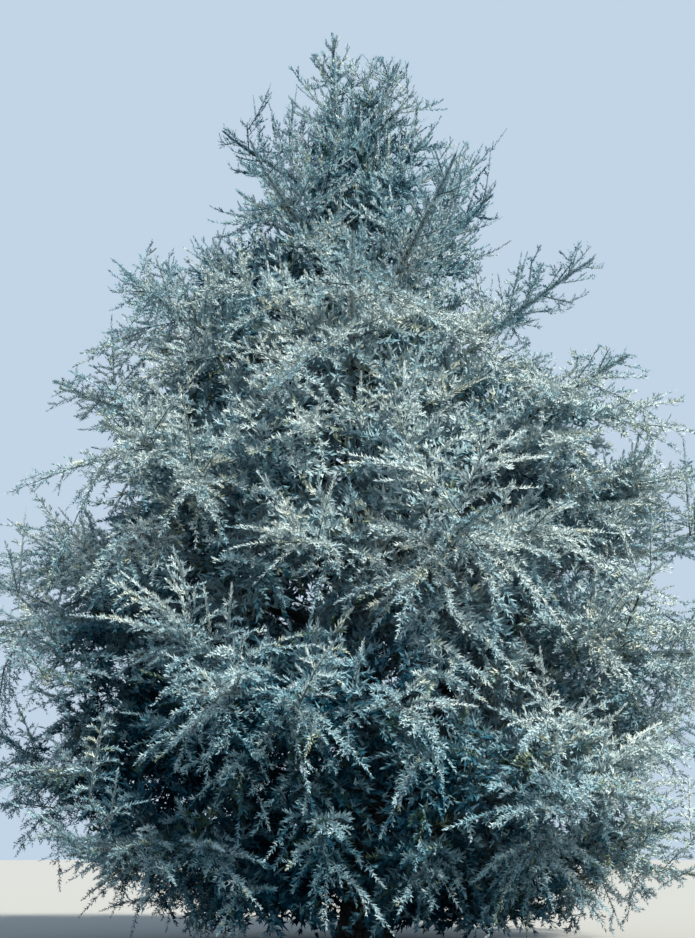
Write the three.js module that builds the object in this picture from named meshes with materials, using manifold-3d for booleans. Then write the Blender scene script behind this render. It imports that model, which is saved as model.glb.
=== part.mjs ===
// A blue Atlas cedar, 16 m tall, that stands rooted in level ground.
// One trunk with a root flare runs up through the crown. Boughs leave it in a rising spiral, and each bears
// one mass of needled twigs: a stem that carries the bough on to its tip, arms all along it, and sprays.
// Millimetres, +Z up. The origin is the middle of the flat cut at ground level, and the front faces -Y.

import * as THREE from "three";
import { mergeVertices } from "three/addons/utils/BufferGeometryUtils.js";
import Module from "manifold-3d";

const wasm = await Module();
wasm.setup();

// Driving dimensions of the whole tree
const TREE_HEIGHT = 16000;
const CROWN_RADIUS = 6500; // the widest reach of the limbs
const DOME_RADIUS = 8400; // the dome that the upper tips touch would be this wide at the ground
const POINT_SLOPE = 1.5; // width over height of the point that tops the dome
const SKIRT_RADIUS = 4300; // reach of the foliage that almost brushes the ground
const SKIRT_HEIGHT = 3000; // below this the crown draws in towards the skirt
const OVERREACH = 1.05; // the tips of sprays may pass the crown's reach by this factor
const GROUND_CLEARANCE = 90; // the lowest needles hang this far above the ground

// The upper crown is thinner towards -X: from one height on, and fully from another
const THIN_SIDE = { from: 6000, full: 9000, reach: 0.84, rise: 0.64 };

// The trunk
const TRUNK_TOP = 14200; // here the trunk passes into the leader
const TRUNK_RADIUS = 330;
const TRUNK_TIP_RADIUS = 44;
const LEADER_RADIUS = 38;
const FLARE = 210; // how far the root flare stands out at the cut
const FLARE_HEIGHT = 430;
const FLARE_LOBES = 5;
const LOBE_DEPTH = 0.13;
const TRUNK_TAPER = 0.9; // below 1, the trunk thins faster near the ground
const TRUNK_SIDES = 12;
const TRUNK_RINGS = 16;
const RING_CROWDING = 1.7; // the rings lie closer together in the root flare
const LEAN = { x: -520, y: 160 }; // how far the tip stands away from above the foot
const LEAN_CURVE = 1.4;
const SWAY = 60; // a slow bend from side to side on the way up

// The limbs: each is a bough and the stem of the mass that it bears
const LIMBS = 33;
const BOUGHS = 25; // the limbs above these are stems that grow straight from the trunk
const LOWEST_LIMB = 900;
const HIGHEST_LIMB = 14000;
const SURFACE_POWER = 2 / 3; // a limb's depth under the highest goes with this power of the crown above it
const FIRST_AZIMUTH = 136;
const GOLDEN_ANGLE = 137.508;
const AZIMUTH_SCATTER = 6;
const REACH_SCATTER = 0.06;
const RISE_SCATTER = 0.08;
const MOST_RISE_SHARE = 0.76; // of the height that is left above a limb's root
const ROOT_HANDLE = 0.38; // lengths of the curve's two handles, in limb lengths
const TIP_HANDLE = 0.34;
const BOUGH_SHARE = 0.28; // of a limb's length is bare bough, and its mass starts there
const LIMB_RADIUS_SHARE = 0.0155; // of its length, at the root
const LIMB_TIP_RADIUS = 9;
const LIMB_TAPER = 0.8;
const COLLAR = 0.35; // how much thicker a limb is in its collar on the trunk
const COLLAR_LENGTH = 0.05; // of the limb's length
const BOUGH_SIDES = 5;
const BOUGH_STEPS = 2;

// What changes with a limb's level, which is its root's height over the tree's: from low to high between two
const TIP_RISE = { low: -250, high: 3250, from: 0.05, to: 0.55 }; // how far the tip lies above the root
const DEPARTURE = { low: 8, high: 50, from: 0, to: 0.7 }; // degrees above level where it leaves the trunk
const TIP_SLOPE = { low: -8, high: 56, from: 0.1, to: 0.8 }; // and at its tip
const ARM_DROOP = { low: 0.24, high: -0.2, from: 0.2, to: 1 }; // how far an arm's tip sinks, in arm lengths

// The stem and arms of a mass
const TWIG_SIDES = 3;
const STEM_STEPS = 4;
const ARMS = { least: 4, most: 6 };
const ARM_SPACING = 690;
const ARM_SIZES = [1, 0.75, 0.55]; // tried in turn, where an arm has little room
const ARM_SHARE = 0.36; // of the stem's length, for the first arm
const ARM_TAPER = 0.4; // how much shorter the last arm is
const ARM_LENGTH_SCATTER = 0.12;
const ARM_ANGLE = { first: 74, last: 44 }; // between arm and stem
const ARM_TILT = 42; // how far the arms stand out of the flat plate, up or down
const ARM_RADIUS_SHARE = 0.018;
const LEAST_ARM_RADIUS = 14;
const FIRST_ARM = 0.2; // of a limb's length, where it has no bare bough
const LAST_ARM = 0.92;
const ARM_CROWDING = 0.9; // below 1, the arms lie closer together towards the tip

// The sprays
const SPRAY_LENGTH = { least: 560, most: 1800 };
const SPRAY_SHARE = 1.6; // of its arm's length
const SPRAY_HALF_WIDTH = 0.35; // of its length, at its widest teeth
const SPRAY_THICKNESS = 0.026;
const SPRAY_CENTRE = 0.42;
const SPRAY_LENGTH_SCATTER = 0.1;
const SPLAY_SCATTER = 12;
const SIDE_SCATTER = 20;
const SPRAY_ROLL = 40;
const SPRAY_FACING = { outward: 0.6, up: 0.8 }; // the way that a spray's flat side tends to face
const SPRAY_SIZES = [1, 0.88, 0.76, 0.66, 0.58]; // tried in turn, where a spray has little room

// Where the teeth of a spray stand, as shares of its length and half width, from the base to the tip
const TEETH = [
  { along: 0.45, across: 1 },
  { along: 0.46, across: 0.42 },
  { along: 0.78, across: 0.66 },
];

// Where sprays stand on an arm, how far they splay from it, and to which side of it: level, up or down
const SPRAY_SEATS = [
  { at: 0.85, splay: 5, side: 0 },
  { at: 0.6, splay: 58, side: 50 },
  { at: 0.38, splay: 64, side: -95 },
];

// The spray that ends a stem: where it starts, and its length as a share of the stem's
const TIP_SPRAY = { at: 0.78, share: 0.27, splay: 0, side: 0 };
const LEADER_SPRAY = { at: 0.5, share: 0.5, splay: 0, side: 0 };

// Clearances
const SEAT_GAP = 0.3; // between a stem and its bough
const TRUNK_GAP = 0.33; // between a limb and the trunk
const LEAST_GAP = 12; // between a twig or spray and any piece that it doesn't grow on
const INTERLOCK = 240; // a point may lie this much closer to another mass's middle line than to its own

// Colours as the tree shows them
const BARK = new THREE.MeshStandardMaterial({ color: 0x5b5148, roughness: 0.95, metalness: 0 });
const NEEDLES = new THREE.MeshStandardMaterial({ color: 0x7d979b, roughness: 0.7, metalness: 0 });

// What each random draw decides, so that no two draws share a number
const DRAW = { azimuth: 1, reach: 2, rise: 3, armLength: 4, armTilt: 5, roll: 6, splay: 7, spraySize: 8 };

const { lerp, clamp, degToRad, smoothstep } = THREE.MathUtils;
const UP = new THREE.Vector3(0, 0, 1);

// A number from 0 to 1 that is always the same for the same whole-number keys
function draw(...keys) {
  let mixed = 0x9e3779b9;
  for (const key of keys) {
    mixed = Math.imul(mixed ^ key, 0x85ebca6b);
    mixed ^= mixed >>> 13;
    mixed = Math.imul(mixed, 0xc2b2ae35);
    mixed ^= mixed >>> 16;
  }
  return (mixed >>> 0) / 2 ** 32;
}

// A draw from -1 to 1
const scatter = (...keys) => 2 * draw(...keys) - 1;

const atLevel = ({ low, high, from, to }, level) => lerp(low, high, smoothstep(level, from, to));

// The trunk's axis: a lean that grows with height, and a slow sway
function trunkAxis(height) {
  const share = height / TREE_HEIGHT;
  const lean = share ** LEAN_CURVE;
  const sway = SWAY * Math.sin(Math.PI * 2 * share);
  return new THREE.Vector3(LEAN.x * lean + sway, LEAN.y * lean - sway, height);
}

function trunkRadius(height, angle) {
  const flare = Math.exp(-height / FLARE_HEIGHT);
  const taper = lerp(TRUNK_RADIUS, TRUNK_TIP_RADIUS, (height / TRUNK_TOP) ** TRUNK_TAPER);
  return (taper + FLARE * flare) * (1 + LOBE_DEPTH * flare * Math.cos(FLARE_LOBES * angle));
}

// How much a place belongs to the thin side of the upper crown, from 0 to 1
function thinness(height, azimuth) {
  return ((1 - Math.cos(azimuth)) / 2) * smoothstep(height, THIN_SIDE.from, THIN_SIDE.full);
}

// How far from the trunk the crown reaches: a pointed dome, a straight side, and a skirt that draws in
function crownReach(height, azimuth) {
  const point = POINT_SLOPE * Math.max(0, TREE_HEIGHT - height);
  const dome = DOME_RADIUS * Math.sqrt(Math.max(0, 1 - height / TREE_HEIGHT));
  const skirt = lerp(SKIRT_RADIUS, CROWN_RADIUS, smoothstep(height, 0, SKIRT_HEIGHT));
  return Math.min(point, dome, skirt) * lerp(1, THIN_SIDE.reach, thinness(height, azimuth));
}

// A closed geometry as a solid
function solidOf(geometry) {
  geometry.deleteAttribute("normal");
  geometry.deleteAttribute("uv");
  const merged = mergeVertices(geometry, 1e-3);
  return new wasm.Manifold(
    new wasm.Mesh({
      numProp: 3,
      vertProperties: new Float32Array(merged.attributes.position.array),
      triVerts: new Uint32Array(merged.index.array),
    }),
  );
}

function geometryOf(solid) {
  const mesh = solid.getMesh();
  return new THREE.BufferGeometry()
    .setAttribute("position", new THREE.BufferAttribute(mesh.vertProperties, 3))
    .setIndex(new THREE.BufferAttribute(mesh.triVerts, 1));
}

// The trunk from the ground to the leader: a cylinder whose level rings follow the axis, widened by extra
function trunkSolid(extra = 0) {
  const shape = new THREE.CylinderGeometry(1, 1, 1, TRUNK_SIDES, TRUNK_RINGS);
  const places = shape.attributes.position;
  for (let i = 0; i < places.count; i++) {
    const height = (TRUNK_TOP + extra) * (places.getY(i) + 0.5) ** RING_CROWDING;
    const angle = Math.atan2(places.getX(i), -places.getZ(i));
    const onRing = Math.hypot(places.getX(i), places.getZ(i)) > 0.5;
    const radius = onRing ? trunkRadius(height, angle) + extra : 0;
    const centre = trunkAxis(height);
    const out = new THREE.Vector2(Math.sin(angle), Math.cos(angle)).multiplyScalar(radius);
    places.setXYZ(i, centre.x + out.x, centre.y + out.y, height);
  }
  return solidOf(shape);
}

// The tangent of a curve, the side that is square to it and the third way, at a share of its length
function frameAt(curve, side, share) {
  const along = curve.getTangent(share);
  const across = side.clone().addScaledVector(along, -side.dot(along)).normalize();
  return { along, across, up: new THREE.Vector3().crossVectors(across, along) };
}

// A limb or twig: a cylinder whose rings stand square to the curve. A pointed one ends in a point.
function limbSolid({ curve, side, radiusAt, sides, steps, from = 0, to = 1, pointed = false }) {
  const shape = new THREE.CylinderGeometry(pointed ? 0 : 1, 1, 1, sides, steps);
  const places = shape.attributes.position;
  for (let i = 0; i < places.count; i++) {
    const share = lerp(from, to, places.getY(i) + 0.5);
    const out = new THREE.Vector2(places.getX(i), places.getZ(i));
    const onRing = out.length() > 1e-6;
    if (onRing) out.setLength(radiusAt(share));
    const { across, up } = frameAt(curve, side, share);
    const place = curve.getPoint(share).addScaledVector(across, out.x).addScaledVector(up, out.y);
    places.setXYZ(i, place.x, place.y, place.z);
  }
  return solidOf(shape);
}

// The rim of a spray, all the way round from its base: teeth on one side, the tip, and the same teeth back
const SPRAY_RIM = [
  { along: 0, across: 0 },
  ...TEETH,
  { along: 1, across: 0 },
  ...TEETH.map(({ along, across }) => ({ along, across: -across })).reverse(),
];

// A spray of needles: a lens that is thickest at its middle, with its rim drawn out into teeth
function spraySolid({ base, along, normal, length }) {
  const across = new THREE.Vector3().crossVectors(along, normal);
  const shape = new THREE.SphereGeometry(1, SPRAY_RIM.length, 2);
  const { position: places, uv } = shape.attributes;
  for (let i = 0; i < places.count; i++) {
    const place = base.clone();
    const pole = places.getY(i);
    if (Math.abs(pole) > 0.5) {
      place.addScaledVector(along, SPRAY_CENTRE * length);
      place.addScaledVector(normal, (Math.sign(pole) * SPRAY_THICKNESS * length) / 2);
    } else {
      const rim = SPRAY_RIM[Math.round(uv.getX(i) * SPRAY_RIM.length) % SPRAY_RIM.length];
      place.addScaledVector(along, rim.along * length);
      place.addScaledVector(across, rim.across * SPRAY_HALF_WIDTH * length);
    }
    places.setXYZ(i, place.x, place.y, place.z);
  }
  return solidOf(shape);
}

// The limbs rise round the trunk by the golden angle, each with a like share of the crown's surface to fill
function makeLimb(index) {
  const share = (index + 0.5) / LIMBS;
  const rootHeight = lerp(LOWEST_LIMB, HIGHEST_LIMB, 1 - (1 - share) ** SURFACE_POWER);
  const level = rootHeight / TREE_HEIGHT;
  const azimuth = degToRad(
    FIRST_AZIMUTH - GOLDEN_ANGLE * index + AZIMUTH_SCATTER * scatter(index, DRAW.azimuth),
  );
  const outward = new THREE.Vector3(Math.cos(azimuth), Math.sin(azimuth), 0);
  const side = new THREE.Vector3(-Math.sin(azimuth), Math.cos(azimuth), 0);

  const rise =
    Math.min(atLevel(TIP_RISE, level), MOST_RISE_SHARE * (TREE_HEIGHT - rootHeight)) *
    (1 + RISE_SCATTER * scatter(index, DRAW.rise)) *
    lerp(1, THIN_SIDE.rise, thinness(rootHeight, azimuth));
  const tipHeight = rootHeight + rise;
  const reach = crownReach(tipHeight, azimuth) * (1 + REACH_SCATTER * scatter(index, DRAW.reach));
  const root = trunkAxis(rootHeight);
  const tip = trunkAxis(tipHeight).addScaledVector(outward, reach);
  const length = root.distanceTo(tip);

  // The curve leaves the trunk at one slope and reaches the tip at another
  const heading = (slope) =>
    outward.clone().multiplyScalar(Math.cos(degToRad(slope))).setZ(Math.sin(degToRad(slope)));
  const departure = heading(atLevel(DEPARTURE, level));
  const arrival = heading(atLevel(TIP_SLOPE, level));
  const curve = new THREE.CubicBezierCurve3(
    root,
    root.clone().addScaledVector(departure, ROOT_HANDLE * length),
    tip.clone().addScaledVector(arrival, -TIP_HANDLE * length),
    tip,
  );

  const rootRadius = LIMB_RADIUS_SHARE * length;
  const radiusAt = (at) =>
    lerp(rootRadius, LIMB_TIP_RADIUS, at ** LIMB_TAPER) * (1 + COLLAR * Math.exp(-at / COLLAR_LENGTH));
  const stemStart = index < BOUGHS ? BOUGH_SHARE : 0;
  return { index, level, curve, side, length, radiusAt, stemStart };
}

// The leader carries the trunk on to the top of the tree, from a foot inside the trunk's end
function makeLeader() {
  const foot = trunkAxis(TRUNK_TOP - TRUNK_TIP_RADIUS);
  const tip = trunkAxis(TREE_HEIGHT);
  const curve = new THREE.CubicBezierCurve3(
    foot,
    foot.clone().lerp(tip, 1 / 3),
    foot.clone().lerp(tip, 2 / 3),
    tip,
  );
  return {
    index: LIMBS,
    level: 1,
    curve,
    side: new THREE.Vector3(1, 0, 0),
    length: foot.distanceTo(tip),
    radiusAt: (at) => lerp(LEADER_RADIUS, LIMB_TIP_RADIUS, at),
    stemStart: 0,
    isLeader: true,
  };
}

const stemLengthOf = (limb) => limb.length * (1 - limb.stemStart);

const armCount = (limb) => clamp(Math.round(stemLengthOf(limb) / ARM_SPACING), ARMS.least, ARMS.most);

// The way that leaves a curve's tangent by one angle, turned about the tangent by another, in degrees
function headingOff({ along, across, up }, open, turn) {
  const outOf = Math.sin(degToRad(open));
  return along
    .clone()
    .multiplyScalar(Math.cos(degToRad(open)))
    .addScaledVector(across, outOf * Math.cos(degToRad(turn)))
    .addScaledVector(up, outOf * Math.sin(degToRad(turn)));
}

// The arms of a mass stand to both sides of its stem in turn, and all round the leader
function makeArm(limb, k, size) {
  const progress = (k + 0.5) / armCount(limb);
  const firstShare = limb.stemStart || FIRST_ARM;
  const share = lerp(firstShare, LAST_ARM, progress ** ARM_CROWDING);
  const tilt = ARM_TILT * scatter(limb.index, k, DRAW.armTilt);
  const turn = limb.isLeader ? GOLDEN_ANGLE * k : 180 * (k % 2) + tilt;
  const open = lerp(ARM_ANGLE.first, ARM_ANGLE.last, progress);
  const heading = headingOff(frameAt(limb.curve, limb.side, share), open, turn);
  const varied = 1 + ARM_LENGTH_SCATTER * scatter(limb.index, k, DRAW.armLength);
  const length = ARM_SHARE * stemLengthOf(limb) * (1 - ARM_TAPER * progress) * varied * size;
  const root = pointOnStem(limb, share);
  const tip = root.clone().addScaledVector(heading, length);
  tip.z -= length * atLevel(ARM_DROOP, limb.level);
  const rootRadius = Math.max(ARM_RADIUS_SHARE * length, LEAST_ARM_RADIUS);
  return {
    curve: new THREE.LineCurve3(root, tip),
    side: new THREE.Vector3().crossVectors(heading, UP).normalize(),
    length,
    radiusAt: (at) => lerp(rootRadius, LIMB_TIP_RADIUS, at),
  };
}

// A spray leaves its twig at a splay to one side, with its flat side turned outwards and up, more or less
function sprayOn(twig, base, seat, length, keys) {
  const splay = seat.splay + SPLAY_SCATTER * scatter(...keys, DRAW.splay);
  const turn = seat.side + SIDE_SCATTER * scatter(...keys, DRAW.armTilt);
  const heading = headingOff(frameAt(twig.curve, twig.side, seat.at), splay, turn);
  const outward = base.clone().setZ(0).normalize();
  const facing = outward.multiplyScalar(SPRAY_FACING.outward).addScaledVector(UP, SPRAY_FACING.up);
  const normal = facing.addScaledVector(heading, -facing.dot(heading)).normalize();
  normal.applyAxisAngle(heading, degToRad(SPRAY_ROLL * scatter(...keys, DRAW.roll)));
  return spraySolid({ base, along: heading, normal, length });
}

// The middle line of a mass: the straight stretches between the rings of its stem
function middleLine(limb) {
  const points = Array.from({ length: STEM_STEPS + 1 }, (_, k) =>
    limb.curve.getPoint(lerp(limb.stemStart, 1, k / STEM_STEPS)),
  );
  return points.slice(1).map((end, k) => new THREE.Line3(points[k], end));
}

// The point of a stem's middle line at a share of the whole limb's length
function pointOnStem(limb, share) {
  const place = (STEM_STEPS * (share - limb.stemStart)) / (1 - limb.stemStart);
  const stretch = Math.min(Math.floor(place), STEM_STEPS - 1);
  return limb.middleLine[stretch].at(place - stretch, new THREE.Vector3());
}

// The nearest that a point comes to the middle line of a mass
function distanceToMass(point, limb) {
  const nearest = new THREE.Vector3();
  const distances = limb.middleLine.map((stretch) =>
    stretch.closestPointToPoint(point, true, nearest).distanceTo(point),
  );
  return Math.min(...distances);
}

// Whether a point lies inside the crown's outline
function isInCrown(point) {
  if (point.z < GROUND_CLEARANCE || point.z > TREE_HEIGHT) return false;
  const out = point.clone().sub(trunkAxis(point.z));
  const reach = OVERREACH * crownReach(point.z, Math.atan2(out.y, out.x));
  return out.length() < reach + LIMB_TIP_RADIUS;
}

// A piece keeps to its mass's own space: nearer to its middle line than to any other, and inside the crown
function keepsToSpace(solid, limb, limbs) {
  const { vertProperties } = solid.getMesh();
  for (let i = 0; i < vertProperties.length; i += 3) {
    const point = new THREE.Vector3().fromArray(vertProperties, i);
    if (!isInCrown(point)) return false;
    const own = distanceToMass(point, limb) - INTERLOCK;
    if (limbs.some((other) => other !== limb && distanceToMass(point, other) < own)) return false;
  }
  return true;
}

const boxOf = (solid) => {
  const { min, max } = solid.boundingBox();
  return new THREE.Box3(new THREE.Vector3(...min), new THREE.Vector3(...max));
};

// Whether a piece comes too close to another than the twig that it grows on
function touches(solid, pieces, parent) {
  const box = boxOf(solid).expandByScalar(LEAST_GAP);
  const near = pieces.filter((piece) => piece !== parent && box.intersectsBox(piece.box));
  return near.some((piece) => solid.minGap(piece.solid, LEAST_GAP) < LEAST_GAP);
}

const pieceOf = (solid) => ({ solid, box: boxOf(solid) });

// One mass: its stem, then arms and sprays wherever they have room
function growMass(limb, limbs, pieces, widerTrunk) {
  const start = limb.stemStart + SEAT_GAP / limb.length;
  const whole = limbSolid({ ...limb, sides: TWIG_SIDES, steps: STEM_STEPS, from: start, pointed: true });
  const stem = pieceOf(limb.stemStart ? whole : whole.subtract(widerTrunk));
  const grown = [stem];
  const isFree = (solid, parent) =>
    keepsToSpace(solid, limb, limbs) && !touches(solid, [...pieces, ...grown], parent);

  const addSpray = (twig, parent, base, seat, wanted, keys) => {
    const most = clamp(wanted, SPRAY_LENGTH.least, SPRAY_LENGTH.most);
    for (const [attempt, size] of SPRAY_SIZES.entries()) {
      const varied = 1 + SPRAY_LENGTH_SCATTER * scatter(...keys, attempt, DRAW.spraySize);
      const length = most * size * varied;
      const solid = sprayOn(twig, base, seat, length, [...keys, attempt]);
      if (isFree(solid, parent)) {
        grown.push(pieceOf(solid));
        return;
      }
    }
  };

  const last = limb.isLeader ? LEADER_SPRAY : TIP_SPRAY;
  const lastBase = pointOnStem(limb, last.at);
  addSpray(limb, stem, lastBase, last, last.share * limb.length, [limb.index, ARMS.most, 0]);
  for (let k = 0; k < armCount(limb); k++) {
    for (const size of ARM_SIZES) {
      const arm = makeArm(limb, k, size);
      const solid = limbSolid({ ...arm, sides: TWIG_SIDES, steps: 1, pointed: true });
      if (!isFree(solid, stem)) continue;
      const twig = pieceOf(solid);
      grown.push(twig);
      SPRAY_SEATS.forEach((seat, s) => {
        const base = arm.curve.getPoint(seat.at);
        addSpray(arm, twig, base, seat, SPRAY_SHARE * arm.length, [limb.index, k, s]);
      });
      break;
    }
  }
  return grown;
}

const cedar = new THREE.Group();

function addNode(name, solid, material) {
  const mesh = new THREE.Mesh(geometryOf(solid), material);
  mesh.name = name;
  cedar.add(mesh);
}

const twoDigits = (number) => String(number + 1).padStart(2, "0");

function buildCedar() {
  const trunk = trunkSolid();
  const widerTrunk = trunkSolid(TRUNK_GAP);
  addNode("trunk", trunk, BARK);
  const pieces = [pieceOf(trunk)];

  const limbs = [...Array.from({ length: LIMBS }, (_, index) => makeLimb(index)), makeLeader()];
  for (const limb of limbs) limb.middleLine = middleLine(limb);

  for (const limb of limbs.slice(0, BOUGHS)) {
    const whole = limbSolid({ ...limb, sides: BOUGH_SIDES, steps: BOUGH_STEPS, to: limb.stemStart });
    const bough = whole.subtract(widerTrunk);
    addNode(`bough_${twoDigits(limb.index)}`, bough, BARK);
    pieces.push(pieceOf(bough));
  }
  for (const limb of limbs) {
    const grown = growMass(limb, limbs, pieces, widerTrunk);
    const mass = wasm.Manifold.union(grown.map((piece) => piece.solid));
    addNode(limb.isLeader ? "leader_foliage" : `foliage_${twoDigits(limb.index)}`, mass, NEEDLES);
    pieces.push(...grown);
  }
}

buildCedar();

export default cedar;
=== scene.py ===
# %% [markdown]
# # A blue Atlas cedar
#
# This lesson dresses the plain model of a cedar that is 16 m tall. The plain model gives the trunk, the
# boughs and the masses of foliage as simple solids. Here each of them gets its finer shape, in metres and
# in its own place: bark with furrows, limbs that run on through the foliage, twigs that branch from them
# by the same rule as the solids, and needles in sprays. Everything is worked out as whole arrays, because
# the crown holds tens of thousands of shoots, and a loop over each of them would take minutes.

from types import SimpleNamespace

import bpy
import numpy as np
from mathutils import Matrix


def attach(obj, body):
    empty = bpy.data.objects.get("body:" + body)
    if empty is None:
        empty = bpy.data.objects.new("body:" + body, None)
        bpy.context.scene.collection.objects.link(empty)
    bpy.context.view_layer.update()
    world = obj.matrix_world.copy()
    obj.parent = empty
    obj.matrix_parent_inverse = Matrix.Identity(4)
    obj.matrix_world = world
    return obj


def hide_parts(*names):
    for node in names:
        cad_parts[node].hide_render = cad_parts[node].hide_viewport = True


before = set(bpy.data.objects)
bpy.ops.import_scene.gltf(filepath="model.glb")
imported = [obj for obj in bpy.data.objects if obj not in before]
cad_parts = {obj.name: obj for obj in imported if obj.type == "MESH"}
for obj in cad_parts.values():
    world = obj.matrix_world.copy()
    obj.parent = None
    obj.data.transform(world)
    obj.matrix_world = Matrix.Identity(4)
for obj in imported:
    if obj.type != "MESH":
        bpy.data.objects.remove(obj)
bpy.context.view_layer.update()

# %% [markdown]
# ## Camera, floor and light
#
# The tree is seen from eye height, 24 m away, with the camera tilted up until the top of the crown is in
# the picture. A long lens keeps the crown's proportions. The floor is a pale disc, wide enough to run out
# of sight.
#
# The light is one soft sun, high in front and to the right, under a pale sky. In daylight the sky behind
# a tree is brighter than its needles, so that the thin tips stand dark against it, while the sun side is
# pale and the inside is a deep blue green. A sky as bright as that would wash out the shade. So the sky
# is kept faint, the sun is made strong, and the colours of needles, bark and floor are all darker than
# life by about a fifth.

# %% The camera
EYE_HEIGHT = 1.6
CAMERA_DISTANCE = 24.0
CAMERA_SIDE = -0.25  # metres; it stands to the left of the trunk's foot
CAMERA_TILT = 14.25  # degrees above level
LENS = 56.4  # millimetres, on a picture whose long side is 36 mm

scene = bpy.context.scene
camera = bpy.data.objects.new("camera", bpy.data.cameras.new("camera"))
scene.collection.objects.link(camera)
scene.camera = camera
camera.location = (CAMERA_SIDE, -CAMERA_DISTANCE, EYE_HEIGHT)
camera.rotation_euler = (np.radians(90 + CAMERA_TILT), 0, 0)
camera.data.lens = LENS
camera.data.sensor_width = 36
camera.data.clip_end = 500
print("camera", CAMERA_DISTANCE, "m away with a lens of", LENS, "mm")


# %% Colours and nodes
def linear(hex_colour):
    """An sRGB colour such as "#8fa8ab" as linear light: each channel c becomes c / 12.92 below 0.04045, and
    ((c + 0.055) / 1.055) ** 2.4 above it."""
    channels = np.array([int(hex_colour[i : i + 2], 16) / 255 for i in (1, 3, 5)])
    light = np.where(channels < 0.04045, channels / 12.92, ((channels + 0.055) / 1.055) ** 2.4)
    return (*light.tolist(), 1.0)


def add_node(tree, kind, settings=(), inputs=()):
    """A new shader node. Settings are its properties, and inputs are values or other nodes' outputs."""
    node = tree.nodes.new(kind)
    for name, value in dict(settings).items():
        setattr(node, name, value)
    for name, value in dict(inputs).items():
        if isinstance(value, bpy.types.NodeSocket):
            tree.links.new(value, node.inputs[name])
        else:
            node.inputs[name].default_value = value
    return node


def new_material(name, **inputs):
    """A material whose surface is one Principled shader. Returns it, its node tree and the shader."""
    material = bpy.data.materials.new(name)
    material.use_nodes = True
    shader = material.node_tree.nodes["Principled BSDF"]
    for socket, value in inputs.items():
        shader.inputs[socket.replace("_", " ")].default_value = value
    return material, material.node_tree, shader


# %% The sky and the sun
SKY_COLOUR = "#cbdff2"
SKY_STRENGTH = 0.9
SUN_COLOUR = "#fff5e6"
SUN_STRENGTH = 8.2
SUN_SOFTNESS = 6.0  # degrees across
SUN_HEIGHT = 50.0  # degrees above level
SUN_SIDE = 38.0  # degrees to the right of the camera

world = bpy.data.worlds.new("pale_sky")
world.use_nodes = True
sky = world.node_tree.nodes["Background"]
sky.inputs["Color"].default_value = linear(SKY_COLOUR)
sky.inputs["Strength"].default_value = SKY_STRENGTH
scene.world = world
scene.view_settings.view_transform = "Standard"

sun = bpy.data.objects.new("sun", bpy.data.lights.new("sun", "SUN"))
scene.collection.objects.link(sun)
sun.rotation_euler = (np.radians(90 - SUN_HEIGHT), 0, np.radians(SUN_SIDE))
sun.data.energy = SUN_STRENGTH
sun.data.angle = np.radians(SUN_SOFTNESS)
sun.data.color = linear(SUN_COLOUR)[:3]
print("sun of", SUN_STRENGTH, "against a sky of", SKY_STRENGTH)

# %% [markdown]
# ## Drawing numbers by rule
#
# A tree looks grown because nothing in it repeats, and yet it has to come out the same each time. Each
# random draw is therefore worked out from whole numbers that name the thing it decides, such as the limb,
# the twig on it and the kind of draw, with no generator whose order would matter. The plain model mixes
# its keys in the same way, so its limbs and these are the same limbs.

# %% Draws and small helpers
DRAW = SimpleNamespace(  # the kinds of draw
    azimuth=1, reach=2, rise=3, length=4, tilt=5, roll=6, bend=9, needle=10, tone=11, bark=12, gap=13
)
UP = np.array([0, 0, 1.0])


def draw(*keys):
    """A number from 0 to 1 for whole-number keys, which may be arrays. Each key is mixed in by an exclusive
    or, two multiplications and two shifts of 32 bits."""
    mixed = np.array([0x9E3779B9], np.uint32)
    for key in keys:
        mixed = (mixed ^ np.asarray(key).astype(np.uint32)) * np.uint32(0x85EBCA6B)
        mixed = (mixed ^ (mixed >> np.uint32(13))) * np.uint32(0xC2B2AE35)
        mixed = mixed ^ (mixed >> np.uint32(16))
    return mixed / 2.0**32


def scatter(*keys):
    """A draw from -1 to 1."""
    return 2 * draw(*keys) - 1


def lerp(low, high, share):
    """The value at a share of the way from low to high."""
    return low + (high - low) * share


def smoothstep(value, low, high):
    """0 below low, 1 above high and 3 s^2 - 2 s^3 between them, with s the share of the way."""
    share = np.clip((value - low) / (high - low), 0, 1)
    return share * share * (3 - 2 * share)


def unit(vectors):
    """Vectors with the same directions and a length of 1."""
    return vectors / np.linalg.norm(vectors, axis=-1, keepdims=True)


def column(values):
    """Values with one more axis at the end, so that they multiply vectors."""
    return np.asarray(values)[..., None]


def outward_at(azimuth):
    """Level vectors of length 1 that point outward at an azimuth."""
    return np.stack([np.cos(azimuth), np.sin(azimuth), 0 * azimuth], axis=-1)


def numbered(count):
    """For all children of parents that have `count` each: the parent, and the child's number from 0."""
    parent = np.repeat(np.arange(len(count)), count)
    return parent, np.arange(len(parent)) - np.repeat(np.cumsum(count) - count, count)


# %% [markdown]
# ## The crown's outline and the trunk's line
#
# A blue Atlas cedar in middle age is a broad cone. Its reach from the trunk is the least of three: a
# steep point at the top, a dome below it, and a straight side that draws in to a skirt just above the
# ground. One side of the upper crown is a little thinner than the other. The trunk leans slowly to the
# left, with a slight sway, and everything else is measured from its line. This much is the same as in the
# plain model, so the two fit each other.

# %% The crown
TREE_HEIGHT = 16.0
CROWN_RADIUS = 6.5
DOME_RADIUS = 8.4  # the dome's radius if it ran down to the ground
POINT_SLOPE = 1.5  # reach gained for each metre below the tree's top
SKIRT_RADIUS = 4.3  # at the ground
SKIRT_HEIGHT = 3.0
THIN_SIDE = SimpleNamespace(start=6.0, full=9.0, reach=0.84, rise=0.64)  # metres up, then shares
OVERREACH = 1.05  # the outermost tips' reach for the crown's
GROUND_CLEARANCE = 0.2
LEAN = (-0.52, 0.16)  # metres, at the tree's top
LEAN_CURVE = 1.4
SWAY = 0.06


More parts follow.
